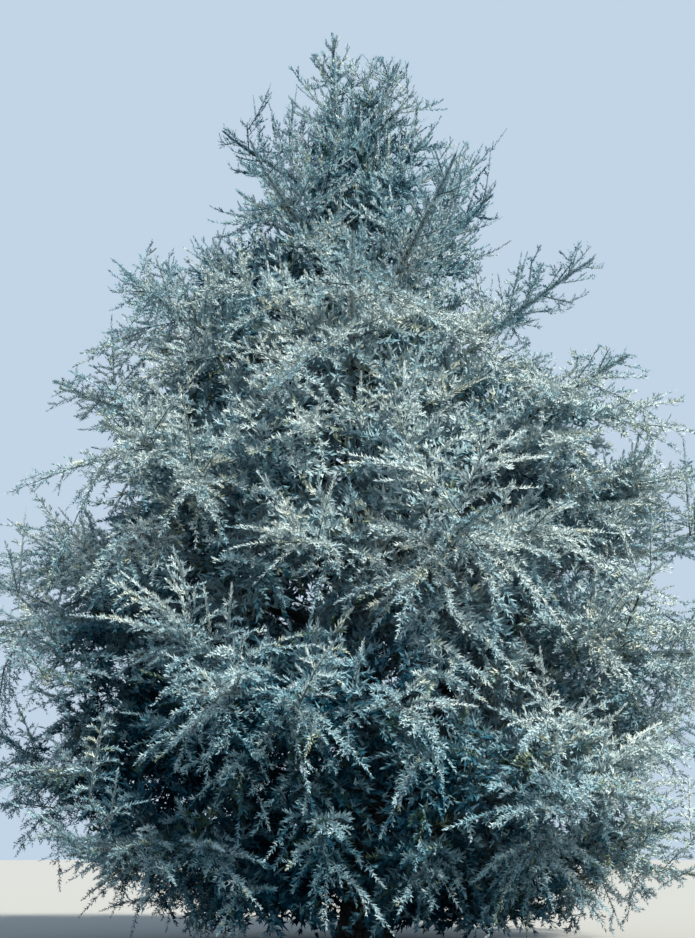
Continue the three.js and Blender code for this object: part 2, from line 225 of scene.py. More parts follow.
def trunk_axis(height):
    """Points on the trunk's line, which leans by the 1.4th power of height and sways by a sine."""
    share = np.clip(height / TREE_HEIGHT, 0, 1)
    lean = share**LEAN_CURVE
    sway = SWAY * np.sin(2 * np.pi * share)
    return np.stack([LEAN[0] * lean + sway, LEAN[1] * lean - sway, height], axis=-1)


def around_trunk(points):
    """How far points are from the trunk's line, level with them, and at which azimuth they stand."""
    out = points - trunk_axis(points[..., 2])
    return np.hypot(out[..., 0], out[..., 1]), np.arctan2(out[..., 1], out[..., 0])


def thinness(height, azimuth):
    """How much a place belongs to the thin side: half of 1 - cos(azimuth), which sets in from 6 to 9 m up."""
    return (1 - np.cos(azimuth)) / 2 * smoothstep(height, THIN_SIDE.start, THIN_SIDE.full)


def crown_reach(height, azimuth):
    """The least of point, dome and skirt, less on the thin side."""
    below_top = np.clip(TREE_HEIGHT - height, 0, None)
    dome = DOME_RADIUS * np.sqrt(below_top / TREE_HEIGHT)
    skirt = lerp(SKIRT_RADIUS, CROWN_RADIUS, smoothstep(height, 0, SKIRT_HEIGHT))
    reach = np.minimum(np.minimum(POINT_SLOPE * below_top, dome), skirt)
    return reach * lerp(1, THIN_SIDE.reach, thinness(height, azimuth))


# %% [markdown]
# ## Curves for every branch
#
# Limbs, arms, twigs and shoots are all the same thing at four sizes: a cubic curve with four handles, and
# a side that says how it lies. Keeping each generation as one array of handles means that the same few
# functions place a point, a heading or a ring on all of them at once.


# %% Points and headings on curves
def point_on(curve, share):
    """Points of cubic curves: handles weighted by (1-t)^3, 3t(1-t)^2, 3t^2(1-t) and t^3."""
    t = column(share)
    return (
        (1 - t) ** 3 * curve[..., 0, :]
        + 3 * t * (1 - t) ** 2 * curve[..., 1, :]
        + 3 * t**2 * (1 - t) * curve[..., 2, :]
        + t**3 * curve[..., 3, :]
    )


def samples_of(branches, shares):
    """Points at the same shares of every branch."""
    all_shares = np.broadcast_to(shares, (len(branches.length), len(shares)))
    return point_on(branches.curve[:, None], all_shares)


def frame_on(curve, side, share):
    """Along, across and third way at shares of curves. Across is the side with its part along taken off."""
    t = column(share)
    steps = np.diff(curve, axis=-2)
    slope = (1 - t) ** 2 * steps[..., 0, :] + 2 * t * (1 - t) * steps[..., 1, :] + t**2 * steps[..., 2, :]
    along = unit(slope)
    across = unit(side - along * column(np.sum(side * along, axis=-1)))
    return along, across, np.cross(across, along)


def heading_off(along, across, third, opening, turn):
    """The way that leaves along by the opening angle, turned about it by the turn, both in degrees."""
    opening, turn = column(np.radians(opening)), column(np.radians(turn))
    return along * np.cos(opening) + (across * np.cos(turn) + third * np.sin(turn)) * np.sin(opening)


def bent_curve(root, way, length, pull):
    """Cubic handles of the curve root + way * length * t + pull * t^2."""
    reach = way * column(length)
    return np.stack([root, root + reach / 3, root + (2 * reach + pull) / 3, root + reach + pull], axis=-2)


# %% [markdown]
# ## The limbs
#
# The limbs leave the trunk in a rising spiral by the golden angle, so none stands right above another.
# Low limbs are nearly level and their tips sink a little; higher ones climb more and more steeply, which
# gives the crown its spires. Each limb is one curve from the trunk to its tip, with foliage from about a
# quarter of its length on, and the leader carries the trunk's line to the top.

# %% The limbs by the rule of the solids
LIMBS = 33
BOUGHS = 25  # the lowest limbs, which are bare near the trunk
LOWEST_LIMB = 0.9  # metres up the trunk
HIGHEST_LIMB = 14.0
SURFACE_POWER = 2 / 3  # crowds the limbs towards the foot as the crown's surface grows
FIRST_AZIMUTH = 136  # degrees
GOLDEN_ANGLE = 137.508
AZIMUTH_SCATTER = 6
REACH_SCATTER = 0.06
RISE_SCATTER = 0.08
MOST_RISE_SHARE = 0.76  # of the height left above a limb's root
TIP_RISE = (-0.25, 3.25, 0.05, 0.55)  # low and high value, and the two levels between which it changes
DEPARTURE = (8, 50, 0, 0.7)  # likewise, in degrees above level
TIP_SLOPE = (-8, 56, 0.1, 0.8)
ROOT_HANDLE = 0.38  # of the limb's length, from its root to the next handle
TIP_HANDLE = 0.34
BOUGH_SHARE = 0.28  # the share of a bough at which its mass of foliage starts
FIRST_ARM = 0.2  # the same for the leader
LEADER_FOOT = 14.156  # metres up
LEADER_RADIUS = 0.038
LIMB_RADIUS_SHARE = 0.0155  # of the limb's length
LIMB_TIP_RADIUS = 0.009
LIMB_BARE = 0.45  # the share of a limb, from its foot, that carries no needles of its own
HIGH_BARE = 0.06  # the same in the steeple, where light reaches the trunk


def at_level(rule, level):
    """From the rule's low to its high value, between two levels."""
    low, high, start, end = rule
    return lerp(low, high, smoothstep(level, start, end))


def level_heading(outward, slope):
    """The way that points outward and rises by a slope in degrees."""
    slope = np.radians(slope)
    return outward * column(np.cos(slope)) + UP * column(np.sin(slope))


def make_limbs():
    """All limbs as arrays, with the leader last. Limb i of n stands at the share
    1 - (1 - (i + 0.5) / n) ** (2 / 3) of the way up. Its curve leaves the trunk at one slope and reaches its
    tip at another."""
    index = np.arange(LIMBS)
    root_height = lerp(LOWEST_LIMB, HIGHEST_LIMB, 1 - (1 - (index + 0.5) / LIMBS) ** SURFACE_POWER)
    level = root_height / TREE_HEIGHT
    degrees = FIRST_AZIMUTH - GOLDEN_ANGLE * index + AZIMUTH_SCATTER * scatter(index, DRAW.azimuth)
    azimuth = np.radians(degrees)
    outward = outward_at(azimuth)
    rise = np.minimum(at_level(TIP_RISE, level), MOST_RISE_SHARE * (TREE_HEIGHT - root_height))
    rise = rise * (1 + RISE_SCATTER * scatter(index, DRAW.rise))
    rise = rise * lerp(1, THIN_SIDE.rise, thinness(root_height, azimuth))
    reach = crown_reach(root_height + rise, azimuth) * (1 + REACH_SCATTER * scatter(index, DRAW.reach))
    root = trunk_axis(root_height)
    tip = trunk_axis(root_height + rise) + outward * column(reach)
    length = np.linalg.norm(tip - root, axis=-1)
    departure = level_heading(outward, at_level(DEPARTURE, level)) * column(ROOT_HANDLE * length)
    arrival = level_heading(outward, at_level(TIP_SLOPE, level)) * column(TIP_HANDLE * length)
    curve = np.stack([root, root + departure, tip - arrival, tip], axis=1)

    # The leader is the last limb
    foot, top = trunk_axis(np.array([LEADER_FOOT, TREE_HEIGHT]))
    leader_curve = np.stack([lerp(foot, top, share) for share in (0, 1 / 3, 2 / 3, 1)])
    start = np.where(index < BOUGHS, BOUGH_SHARE, 0)
    return SimpleNamespace(
        curve=np.concatenate([curve, leader_curve[None]]),
        side=np.concatenate([np.cross(UP, outward), [[1.0, 0, 0]]]),
        length=np.append(length, np.linalg.norm(top - foot)),
        radius=np.append(LIMB_RADIUS_SHARE * length, LEADER_RADIUS),
        level=np.append(level, 1.0),
        first=np.append(np.where(start > 0, start, HIGH_BARE), FIRST_ARM),
        limb=np.arange(LIMBS + 1),
        key=np.arange(LIMBS + 1),
        vigour=np.ones(LIMBS + 1),
        bare=np.append(np.where(start > 0, LIMB_BARE, HIGH_BARE), HIGH_BARE),
        is_leader=np.append(np.zeros(LIMBS, bool), True),
    )


limbs = make_limbs()
lengths = np.round([limbs.length.min(), limbs.length.max()], 2)
print("limbs:", len(limbs.length), "with lengths from", lengths[0], "to", lengths[1])

# %% [markdown]
# ## Room to grow
#
# A real crown isn't a smooth cone. It has a closed body, where the sprays shade one another, and thinner
# branches that stand out of it. The body narrows to a steeple in its upper third, is notched where a big
# limb is missing, and its foliage lies in layers that overlap like shingles, each with a sunlit rim and
# shade beneath. All of this could be modelled as a surface and then covered with twigs. Here it is a rule
# on how far out a branch may end, so that the shape is made by branches alone and stays open to the sky
# between them.
#
# Each branch draws its own vigour: most end near the body's surface, and a few stand well out of it. A
# twig also keeps nearer to its own limb than to the limbs around it, as each limb's foliage shades out
# its neighbour's. Both tests are made for a whole generation of twigs at once. A twig that has no room at
# its full size is tried shorter, and is left out if even the shortest doesn't fit.

# %% The crown's body and its outermost tips
WIDEST = 6.42  # metres from the trunk, for the tips
BODY_SHARE = (0.88, 0.57)  # of the reach of the outermost tips, below the steeple and in it
STEEPLE_FULLER = 0.15  # of that reach, added on the right side of the steeple's top
FULLER_OVER = (11.8, 13.5)  # metres up
BODY_NARROWS = 10.5  # metres up, on average
NARROWS_OVER = (0.4, 1.2)  # metres above and below, at the sides and in front
STEEPLE_TILT = 1.5  # metres by which the steeple starts lower at the front right than on average
STEEPLE_TOWARD = np.radians(-35)
TOP_DRAWN_IN = (0.06, 0.24)  # of the outermost reach in the steeple, on its right side and on its left
DRAWN_IN_OVER = (11.5, 13.0)  # metres up
NOTCHES = (  # height, azimuth, half height and depth as a share of the reach
    (7.6, np.pi, 0.55, 0.2),
    (8.7, 0.0, 0.5, 0.12),
    (5.75, 0.0, 0.42, 0.16),
)
NOTCH_WIDE = 0.8  # radians
RAGGED = 0.042  # the height of each of the waves that run round the body, as a share of the tips' reach
RAGGED_WAVES = ((3, 1.9, 0), (5, -2.7, 1))  # number round the body, radians for each metre up, and start


def outlines(height, azimuth):
    """How far the crown's closed body and its outermost tips reach. The body narrows to a steeple high up,
    its notches are bell curves of height and azimuth, and two sines that run round it make it ragged."""
    tips = np.minimum(OVERREACH * crown_reach(height, azimuth), WIDEST)
    leftward = (1 - np.cos(azimuth)) / 2
    tips = tips * (1 - lerp(*TOP_DRAWN_IN, leftward) * smoothstep(height, *DRAWN_IN_OVER))
    above = height + STEEPLE_TILT * np.cos(azimuth - STEEPLE_TOWARD) - BODY_NARROWS
    over = lerp(*NARROWS_OVER, np.abs(np.sin(azimuth)))
    share = lerp(*BODY_SHARE, smoothstep(above, -over, over))
    share = share + STEEPLE_FULLER * (1 - leftward) * smoothstep(height, *FULLER_OVER)
    for notch_height, notch_azimuth, half_height, depth in NOTCHES:
        turn = np.arccos(np.cos(azimuth - notch_azimuth))
        bell = np.exp(-(((height - notch_height) / half_height) ** 2) - (turn / NOTCH_WIDE) ** 2)
        share, tips = share - depth * bell, tips * (1 - depth * bell)
    waves = sum(np.sin(turns * azimuth + climb * height + start) for turns, climb, start in RAGGED_WAVES)
    return tips * np.minimum(share + RAGGED * waves, 1), tips


# %% Limbs as long as the tips' reach
SHORTEST = 0.6  # the share of its curve that a limb keeps at least
CUTS = 41  # how many shares are tried, up to 1


def cut_back(limbs):
    """The limbs as far as the outermost reach goes. The handles of a curve's first part, up to the share s,
    are its own handles taken the share s of the way to the next ones, once, twice and three times."""
    tried = np.linspace(SHORTEST, 1, CUTS)
    points = samples_of(limbs, tried)
    distance, azimuth = around_trunk(points)
    _, tips = outlines(points[..., 2], azimuth)
    last_fit = CUTS - 1 - (distance < tips)[:, ::-1].argmax(axis=1)
    end = np.where(limbs.is_leader, 1, tried[last_fit])
    parts = [limbs.curve]
    for _ in range(3):
        parts.append(lerp(parts[-1][:, :-1], parts[-1][:, 1:], column(column(end))))
    limbs.curve = np.stack([part[:, 0] for part in parts], axis=1)
    limbs.length = limbs.length * end


cut_back(limbs)
lengths = np.round([limbs.length.min(), limbs.length.max()], 2)
print("cut back to lengths from", lengths[0], "to", lengths[1])

# %% Layers of foliage that overlap like shingles
LAYER_TALL = 1.2  # metres from the rim of one layer to the next
LAYER_WIDE = 2.1
LAYER_DEPTH = (0.75, 0.5)  # low in the crown and high in it
LAYER_DEPTH_OVER = (4, 7)  # metres up
LAYER_BACK = (0.7, 0.35)  # shares of the depth: at the top of a cell, and at its sides
LAYER_WAVES = ((0.3, 2, 1), (0.22, 5, -2))  # share of a layer's height, number round the crown, and start
FEWEST_CELLS = 3
ROW_KEY = 100  # added to a row's number, so that no key is below 0
WHOLE_DEPTH_AT = 4.0  # metres of reach; where the crown is thinner, depths under its surface are less


def layers(height, azimuth):
    """How far the body's surface lies back between its layers. In each cell of a wavy grid it is 0 at the
    middle of the lower rim, and grows with height and with the square of the way across."""
    wavy = height / LAYER_TALL
    for high, turns, start in LAYER_WAVES:
        wavy = wavy + high * np.sin(turns * azimuth + start)
    row = np.floor(wavy)
    reach = crown_reach(row * LAYER_TALL, azimuth * 0)
    cells = np.maximum(np.round(2 * np.pi * reach / LAYER_WIDE), FEWEST_CELLS)
    around = azimuth / (2 * np.pi) * cells + draw(row.astype(int) + ROW_KEY, DRAW.gap)
    across = 2 * (around - np.floor(around)) - 1
    deep = lerp(*LAYER_DEPTH, smoothstep(height, *LAYER_DEPTH_OVER)) * np.minimum(reach / WHOLE_DEPTH_AT, 1)
    return deep * (LAYER_BACK[0] * (wavy - row) + LAYER_BACK[1] * across**2)


def place_in_crown(points):
    """Distance from the trunk's line, and the reach there of the body, its layers and the tips."""
    distance, azimuth = around_trunk(points)
    body, tips = outlines(points[:, 2], azimuth)
    return distance, body, body - layers(points[:, 2], azimuth), tips


def depth_in_body(points):
    """How far inside the outline of the crown's body points lie, level with them."""
    distance, body, _, _ = place_in_crown(points)
    return body - distance


# %% Whether a branch has room to end at a point
STEM_STEPS = 4  # straight stretches of a limb's middle line
INTERLOCK = 0.4  # metres by which a point may lie closer to another limb than to its own
SET_BACK = 0.5  # metres that the most held back branch ends short of the body's surface
STAND_OUT = 0.7  # metres that the most vigorous one stands out of it
SPIRE_RADII = (0.95, 0.25)  # metres round the end of a limb, where it leaves the body and at the tips
THINNEST_SHELL = 0.05  # metres from the body to the tips, so that nothing is divided by 0

steps = np.linspace(0, 1, STEM_STEPS + 1)
mass_start = np.where(limbs.limb < BOUGHS, BOUGH_SHARE, 0)
middle_lines = point_on(limbs.curve[:, None], lerp(column(mass_start), 1, steps))


def distances_to_limbs(points):
    """From each point to each limb's middle line: the least over its straight stretches, (points, limbs)."""
    found = np.empty((len(points), len(middle_lines)))
    for limb, line in enumerate(middle_lines):
        step = np.diff(line, axis=0)
        offset = points[:, None] - line[:-1]
        share = np.clip(np.sum(offset * step, axis=-1) / np.sum(step * step, axis=-1), 0, 1)
        found[:, limb] = np.linalg.norm(offset - step * column(share), axis=-1).min(axis=1)
    return found


def has_room(points, limb, vigour):
    """Above the ground, nearer to the point's own limb, and inside the reach that its vigour allows: the
    body's layered surface at 0, further out above it and set back below it, and never past the tips. The
    end of a limb is clothed in a cone, too, which narrows from where the limb leaves the body."""
    above_ground = (points[:, 2] > GROUND_CLEARANCE) & (points[:, 2] < TREE_HEIGHT)
    distances = distances_to_limbs(points)
    own = distances[np.arange(len(points)), limb]
    distance, body, surface, tips = place_in_crown(points)
    allowed = np.minimum(surface + vigour * np.where(vigour > 0, STAND_OUT, SET_BACK), tips)
    beyond = (distance - body) / np.maximum(tips - body, THINNEST_SHELL)
    on_spire = (beyond < 1) & (own < lerp(*SPIRE_RADII, np.clip(beyond, 0, 1)))
    return above_ground & ((distance < allowed) | on_spire) & (own - INTERLOCK <= distances.min(axis=1))


# %% [markdown]
# ## One rule for arms, twigs and shoots
#
# Along each parent the children stand to both sides in turn, wide open near its foot and closer to it
# near the tip, and shorter towards the tip, so that every spray is a feather shape. Low in the crown they
# sink under their own weight, and high in it they curve up to the light. The numbers of the rule differ
# from one generation to the next, so they are kept together, one set for each.
#
# Three things are added where the rule alone would leave bare wood: boughs that fork from the limbs in a
# spiral, arms all round the clothed top of the trunk, and a last shoot that carries each branch on past
# its tip, which gives the outline its thin points.


# %% The branching rule
FIRST_PLACE = 0.06  # the share of a branch at which its first child may stand
KEYS_PER_STEM = 64


def branches_of(root, way, length, pull, radius, vigour, bare, **place):
    """Branches with a bent curve and a side that lies level. Radius, vigour and the bare share may be one
    number for all. Their place is the level in the tree, the limb that they belong to, and their key."""
    each = np.ones(len(length))
    return SimpleNamespace(
        curve=bent_curve(root, way, length, pull),
        side=unit(np.cross(way, UP) + 1e-6),
        length=length,
        radius=radius * each,
        vigour=vigour * each,
        bare=bare * each,
        first=FIRST_PLACE * each,
        is_leader=each < 0,
        **place,
    )


def only(branches, chosen):
    """The chosen ones of a group of branches."""
    return SimpleNamespace(**{k: v[chosen] for k, v in vars(branches).items()})


def joined(*groups):
    """Several groups of branches as one."""
    return SimpleNamespace(**{k: np.concatenate([vars(g)[k] for g in groups]) for k in vars(groups[0])})


def vigour_of(key, limits):
    """Most branches end near the body's surface and a few stand well out, so the draw is squared."""
    return lerp(*limits, draw(key, DRAW.bend, DRAW.length) ** 2)


def grow(parents, rule):
    """Children along all parents. Child k of n sits at the share ((k + 0.5) / n) ** crowding between the
    parent's first and the rule's last place. Its curve is a straight way plus a pull that grows as t^2."""
    stem = parents.length * (1 - parents.first)
    count = np.clip(np.round(stem / rule.spacing), rule.least, rule.most).astype(int)
    parent, k = numbered(count)
    progress = (k + 0.5) / count[parent]
    share = lerp(parents.first[parent], rule.last, progress**rule.crowding)
    key = parents.key[parent] * KEYS_PER_STEM + k + rule.first_key
    odd = k % 2
    turn = 180 * odd + (1 - 2 * odd) * rule.lift + rule.tilt * scatter(key, DRAW.tilt)
    spiral = GOLDEN_ANGLE * k + rule.tilt * scatter(key, DRAW.azimuth)
    turn = np.where(parents.is_leader[parent] | rule.spiral, spiral, turn)
    opening = lerp(*rule.opening, progress) + rule.opening_scatter * scatter(key, DRAW.roll)
    curve, side = parents.curve[parent], parents.side[parent]
    way = heading_off(*frame_on(curve, side, share), opening, turn)
    root = point_on(curve, share)
    level, limb = parents.level[parent], parents.limb[parent]
    length = rule.share * stem[parent] * (1 - rule.taper * progress)
    length = np.clip(length, *rule.lengths) * (1 + rule.length_scatter * scatter(key, DRAW.length))
    sideways = np.cross(way, UP) * column(rule.sway * scatter(key, DRAW.bend))
    pull = sideways - UP * column(at_level(rule.droop, level))

    vigour = vigour_of(key, rule.vigour) if rule.vigour else parents.vigour[parent]
    size = np.zeros(len(length))
    for tried in rule.sizes:
        waiting = np.flatnonzero(size == 0)
        tip = root[waiting] + (way + pull)[waiting] * column(length[waiting] * tried)
        size[waiting] = tried * has_room(tip, limb[waiting], vigour[waiting])
    kept = size > 0
    length = (length * size)[kept]
    radius = np.clip(rule.thickness * length, *rule.radii)
    pull = pull[kept] * column(length)
    place = {"level": level[kept], "limb": limb[kept], "key": key[kept], "vigour": vigour[kept]}
    return branches_of(root[kept], way[kept], length, pull, radius, bare=rule.bare, **place)


TIP_FOOT = 0.94  # the share of a branch at which its last shoot starts
TIP_LENGTHS = (0.2, 0.5)
TIP_RADIUS = 0.004
TIP_VIGOUR = 0.6  # added to its branch's
TIP_CURVES_UP = 0.15  # of its length
TIPS_RISE_ABOVE = 0.4  # of the tree's height


def tips_of(parents):
    """A last shoot that carries each parent on past its tip, with its heading there. It may stand out further
    than its parent, as a thin point."""
    share = np.full(len(parents.length), TIP_FOOT)
    way, _, _ = frame_on(parents.curve, parents.side, share)
    root = point_on(parents.curve, share)
    key = parents.key * KEYS_PER_STEM + KEYS_PER_STEM - 1
    length = lerp(*TIP_LENGTHS, draw(key, DRAW.length))
    pull = UP * column(TIP_CURVES_UP * length * (parents.level > TIPS_RISE_ABOVE))
    place = {"level": parents.level, "limb": parents.limb, "key": key, "vigour": parents.vigour}
    tips = branches_of(root, way, length, pull, TIP_RADIUS, bare=0, **place)
    return only(tips, has_room(tips.curve[:, 3], tips.limb, tips.vigour + TIP_VIGOUR))


# %% The rules
# A rule's spacing is in metres, and its opening, lift and tilt are in degrees: how wide a child stands from
# its parent at the parent's foot and tip, how far it is turned up, and how far it may turn by chance. Share
# is its length for its parent's, less the taper towards the tip, within the lengths in metres. Sway and
# droop bend it, and droop changes with the level in the tree. The sizes are tried until one has room.
# Thickness is the radius for the length, within the radii. The first key keeps the draws of rules apart.
BOUGH_RULE = SimpleNamespace(
    spacing=0.34, least=5, most=16, last=0.92, crowding=0.9, spiral=True, lift=0, tilt=30, opening=(76, 46),
    opening_scatter=12, share=0.8, taper=0.35, lengths=(0.8, 3.6), length_scatter=0.2, sway=0.14,
    droop=(0.2, -0.3, 0.12, 0.9), vigour=(-1, 0.6), bare=0.25,
    sizes=(1, 0.88, 0.77, 0.66, 0.55, 0.44, 0.33, 0.25), thickness=0.0085, radii=(0.01, 0.024), first_key=1,
)
ARM_RULE = SimpleNamespace(
    spacing=0.29, least=3, most=24, last=0.97, crowding=0.9, spiral=False, lift=0, tilt=40, opening=(66, 38),
    opening_scatter=9, share=0.5, taper=0.45, lengths=(0.5, 1.4), length_scatter=0.25, sway=0.14,
    droop=(0.3, -0.42, 0.12, 0.9), vigour=(-0.7, 1), bare=0.15, sizes=(1, 0.8, 0.62, 0.45, 0.3),
    thickness=0.009, radii=(0.006, 0.014), first_key=20,
)
TWIG_RULE = SimpleNamespace(
    spacing=0.12, least=2, most=16, last=0.97, crowding=0.95, spiral=False, lift=10, tilt=34,
    opening=(60, 34), opening_scatter=9, share=0.42, taper=0.75, lengths=(0.12, 0.6), length_scatter=0.25,
    sway=0.16, droop=(0.5, -0.34, 0.1, 0.9), vigour=None, bare=0.04, sizes=(1, 0.7), thickness=0.01,
    radii=(0.0035, 0.007), first_key=1,
)
SHOOT_RULE = SimpleNamespace(
    spacing=0.2, least=1, most=4, last=0.8, crowding=1, spiral=False, lift=24, tilt=50, opening=(56, 34),
    opening_scatter=12, share=0.5, taper=0.35, lengths=(0.1, 0.22), length_scatter=0.25, sway=0.2,
    droop=(0.12, -0.25, 0.1, 0.6), vigour=None, bare=0, sizes=(1, 0.7), thickness=0.02,
    radii=(0.003, 0.0045), first_key=1,
)


def like(rule, **numbers):
    """A rule with some of its numbers changed."""
    return SimpleNamespace(**{**vars(rule), **numbers})


TOP_ARM_RULE = like(
    ARM_RULE,
    spacing=0.07, least=5, most=12, last=0.95, crowding=1, spiral=True, tilt=30, opening=(72, 62),
    opening_scatter=14, share=0, taper=0, lengths=(0.75, 0.75), length_scatter=0.35, bare=0.05, first_key=1,
)
WOOD_SHOOT_RULE = like(
    SHOOT_RULE,
    spacing=0.085, least=4, most=60, last=0.99, spiral=True, lift=0, tilt=20, opening=(66, 34), share=0,
    taper=0, lengths=(0.14, 0.14), length_scatter=0.3, droop=(0.1, -0.25, 0.1, 0.6), sizes=(1,),
    first_key=1000003,
)

# %% Boughs and arms, also round the clothed top of the trunk
TRUNK_BARE_BELOW = 11.6  # metres up
TRUNK_STEMS = 6
TRUNK_STEM_RADIUS = 0.05
FIRST_TRUNK_KEY = 7000


def trunk_top():
    """The clothed top of the trunk as short straight stems, each counted to the limb nearest to it."""
    heights = np.linspace(TRUNK_BARE_BELOW, LEADER_FOOT, TRUNK_STEMS + 1)
    low, high = trunk_axis(heights[:-1]), trunk_axis(heights[1:])
    limb = distances_to_limbs((low + high) / 2).argmin(axis=1)
    length = heights[1:] - heights[:-1]
    key = FIRST_TRUNK_KEY + np.arange(TRUNK_STEMS)
    place = {"level": heights[1:] / TREE_HEIGHT, "limb": limb, "key": key, "vigour": 1, "bare": 0}
    return branches_of(low, unit(high - low), length, 0 * low, TRUNK_STEM_RADIUS, **place)


boughs = grow(limbs, BOUGH_RULE)
arms = joined(grow(limbs, ARM_RULE), grow(boughs, ARM_RULE), grow(trunk_top(), TOP_ARM_RULE))
print("boughs:", len(boughs.length), "and arms:", len(arms.length))

# %% [markdown]
# ## Reaching into the gaps
#
# On a real tree, a bud that finds light grows, so no part of the crown's surface stays empty for long.
# The same is done here after the arms have grown by rule: places are laid evenly over the crown's surface
# in a spiral, and each one that no arm has come near gets an arm from the wood that is nearest to it and
# points its way. This goes in a few rounds, so that one new arm fills a gap and not ten.
#
# A few hundred feathers come first. They are longer, and reach to places on the surface and a little
# outside it, so they stand out from the rest as the pale sprays do on a real cedar.

# %% Arms that fill the gaps
GAP_PLACES = 10500
GAP_ROUNDS = 8
GAP_DEPTHS = (0.05, 3.5)  # metres under the body's layered surface
TOP_FAVOUR = 1.4  # metres added to the reach, so that the steeple gets more than its share of the places
ENDS_KEPT_FREE = (0.2, 0.25)  # metres above the lowest twigs and under the tree's top, without places
HEIGHT_STEPS = 400
LEAST_REACH = 0.2  # metres, under which a place is left out
COVERED = 0.27  # metres from an arm within which a place counts as covered
ARM_SAMPLES = np.array([0.4, 0.7, 1.0])
WOOD_SAMPLES = np.linspace(0.15, 0.95, 9)
FILLER_LENGTHS = (0.45, 2.0)
FEATHERS = 820
FEATHER_DEPTHS = (0.1, -0.6)  # below 0 they stand out of the surface
FEATHER_CLEAR = 0.3
FEATHER_LENGTHS = (0.7, 2.4)
FEATHER_KEY = 900000
FILLER_KEYS = 100000  # kept for the new arms of each round
FILLER_DROOP = (0.25, -0.3, 0.12, 0.9)
LEAST_AGREEMENT = 0.1  # cosine of the widest angle at which a new arm may leave its wood
TURN_COST = 0.7  # metres that a turn by a right angle counts for


def spiral_places(count, depths):
    """Places on the crown's surface, turned by the golden angle from one to the next, at drawn depths. Their
    heights split the area evenly, so they come from the running sum of reach over height."""
    lowest, highest = GROUND_CLEARANCE + ENDS_KEPT_FREE[0], TREE_HEIGHT - ENDS_KEPT_FREE[1]
    heights = np.linspace(lowest, highest, HEIGHT_STEPS)
    area = np.cumsum(crown_reach(heights, 0 * heights) + TOP_FAVOUR)
    place = np.arange(count)
    height = np.interp((place + 0.5) / count * area[-1], area, heights)
    azimuth = np.radians(GOLDEN_ANGLE * place)
    body, tips = outlines(height, azimuth)
    surface = body - layers(height, azimuth)
    depth = lerp(*depths, draw(place, DRAW.gap))
    depth = np.where(depth > 0, depth * np.minimum(surface / WHOLE_DEPTH_AT, 1), depth)
    reach = np.minimum(surface - depth, tips)
    return (trunk_axis(height) + outward_at(azimuth) * column(reach))[reach > LEAST_REACH]


def fillers(wood, arms, places, covered, lengths, first_key):
    """Arms from the best points of the wood to the places that no arm covers. The cost of a point of the wood
    is its distance, plus the part by which it would have to turn from the wood's own heading."""
    covering = samples_of(arms, ARM_SAMPLES).reshape(-1, 3)
    nearest = np.array([np.linalg.norm(covering - place, axis=1).min() for place in places])
    places = places[nearest > covered]
    stations = samples_of(wood, WOOD_SAMPLES).reshape(-1, 3)
    share = np.broadcast_to(WOOD_SAMPLES, (len(wood.length), len(WOOD_SAMPLES)))
    headings = frame_on(wood.curve[:, None], wood.side[:, None], share)[0].reshape(-1, 3)
    offset = places[:, None] - stations
    distance = np.linalg.norm(offset, axis=-1)
    agreement = np.sum(offset * headings, axis=-1) / distance
    allowed = (distance > lengths[0]) & (distance < lengths[1]) & (agreement > LEAST_AGREEMENT)
    cost = np.where(allowed, distance + TURN_COST * (1 - agreement), np.inf)
    found = np.flatnonzero(np.isfinite(cost.min(axis=1)))
    best = cost[found].argmin(axis=1)
    source = best // len(WOOD_SAMPLES)
    level = wood.level[source]
    pull = -UP * column(at_level(FILLER_DROOP, level) * distance[found, best])
    way = places[found] - stations[best] - pull
    length = np.linalg.norm(way, axis=-1)
    radius = np.clip(ARM_RULE.thickness * length, *ARM_RULE.radii)
    key = first_key + np.arange(len(length))
    vigour = vigour_of(key, ARM_RULE.vigour)
    place = {"level": level, "limb": wood.limb[source], "key": key}
    return branches_of(stations[best], unit(way), length, pull, radius, vigour, ARM_RULE.bare, **place)


wood = joined(limbs, boughs)
places = spiral_places(FEATHERS, FEATHER_DEPTHS)
feathers = fillers(wood, arms, places, FEATHER_CLEAR, FEATHER_LENGTHS, FEATHER_KEY)
feathers.vigour[:] = 1
print("feathers:", len(feathers.length))
arms = joined(arms, feathers)
places = spiral_places(GAP_PLACES, GAP_DEPTHS)
for gap_round in range(GAP_ROUNDS):
    key = (gap_round + 1) * FILLER_KEYS
    new = fillers(wood, arms, places[gap_round::GAP_ROUNDS], COVERED, FILLER_LENGTHS, key)
    print("round", gap_round + 1, "adds", len(new.length), "arms")
    arms = joined(arms, new)

# %% Twigs and shoots
BARE_DEPTH = 4.0  # metres under the crown's outline where twigs have died for want of light

twigs = grow(arms, TWIG_RULE)
twigs = only(twigs, depth_in_body(twigs.curve[:, 3]) < BARE_DEPTH)
shoots = joined(
    grow(twigs, SHOOT_RULE),
    grow(joined(limbs, boughs), WOOD_SHOOT_RULE),
    *(tips_of(group) for group in (arms, boughs, limbs)),
)
stems = joined(shoots, twigs, arms, boughs, limbs)
for name, group in (("boughs", boughs), ("arms", arms), ("twigs", twigs), ("shoots", shoots)):
    print(name, len(group.length), "of", round(group.length.sum()), "m")

# %% [markdown]
# ## From arrays to meshes
#
# A mesh is made straight from arrays with foreach_set, which hands over a whole array in one call. All
# faces are triangles, so that one array of corners describes them. Each piece stays at the origin with
# its place in its mesh.


